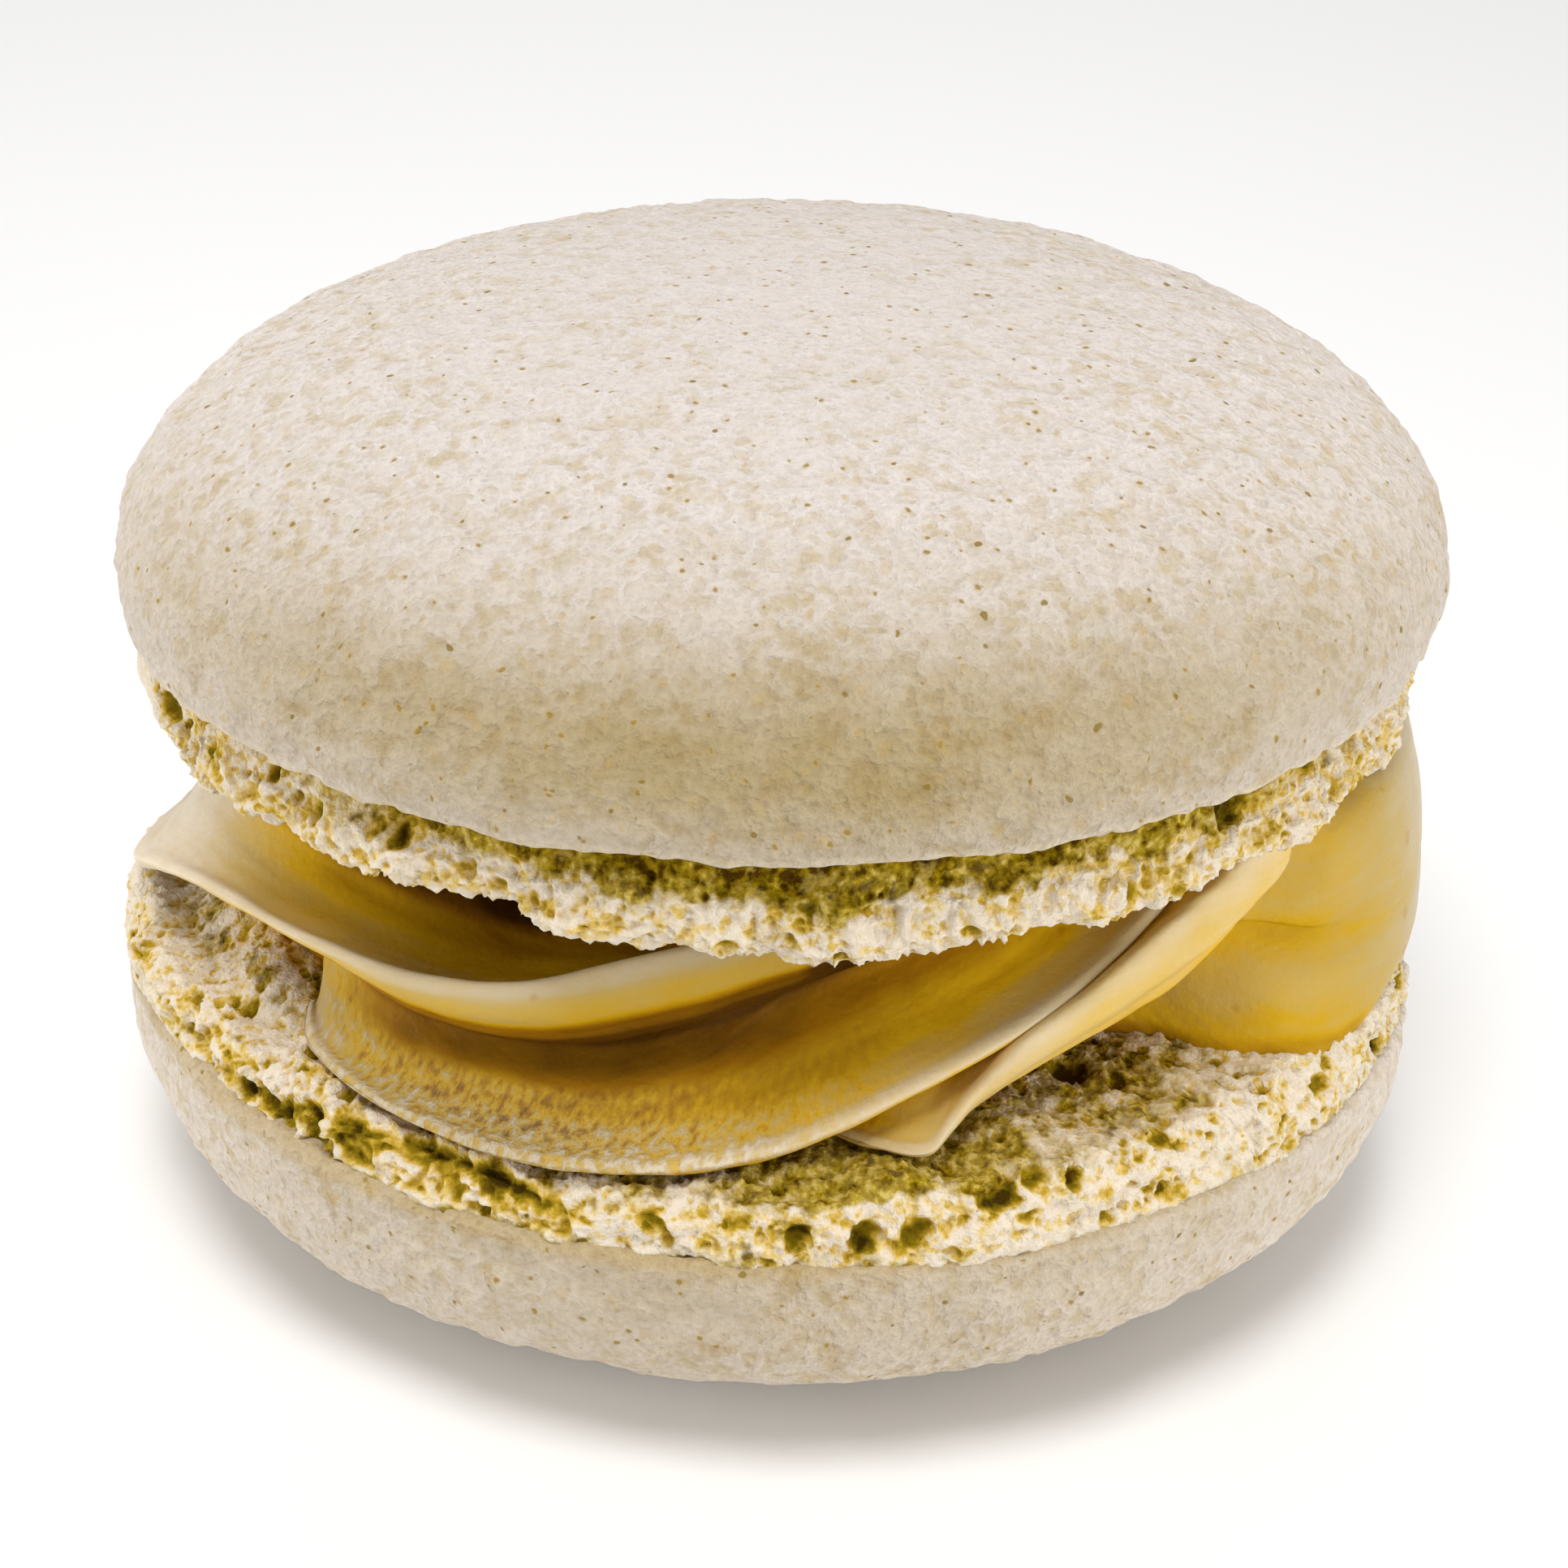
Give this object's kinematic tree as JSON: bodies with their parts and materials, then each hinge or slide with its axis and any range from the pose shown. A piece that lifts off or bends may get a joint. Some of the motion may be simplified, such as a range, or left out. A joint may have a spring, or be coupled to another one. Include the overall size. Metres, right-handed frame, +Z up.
{
  "type": "french macaron",
  "caption": "Round sandwich biscuit of smooth domed meringue shells with craggy feet, filled with overlapping curled ribbons of buttercream.",
  "frame": {"origin": "middle of the flat spot under the lower shell that the macaron rests on", "axes": "+Z up through both shells, -Y towards the front, where the cream's large ribbon shows, +X to the right"},
  "size_m": [0.0465, 0.0465, 0.0315],
  "materials": {
    "shell": "matte, finely pitted meringue crust",
    "cream": "smooth satin buttercream"
  },
  "bodies": {
    "root": {"bottom_shell": "shell", "filling": "cream", "top_shell": "shell"}
  },
  "joints": []
}
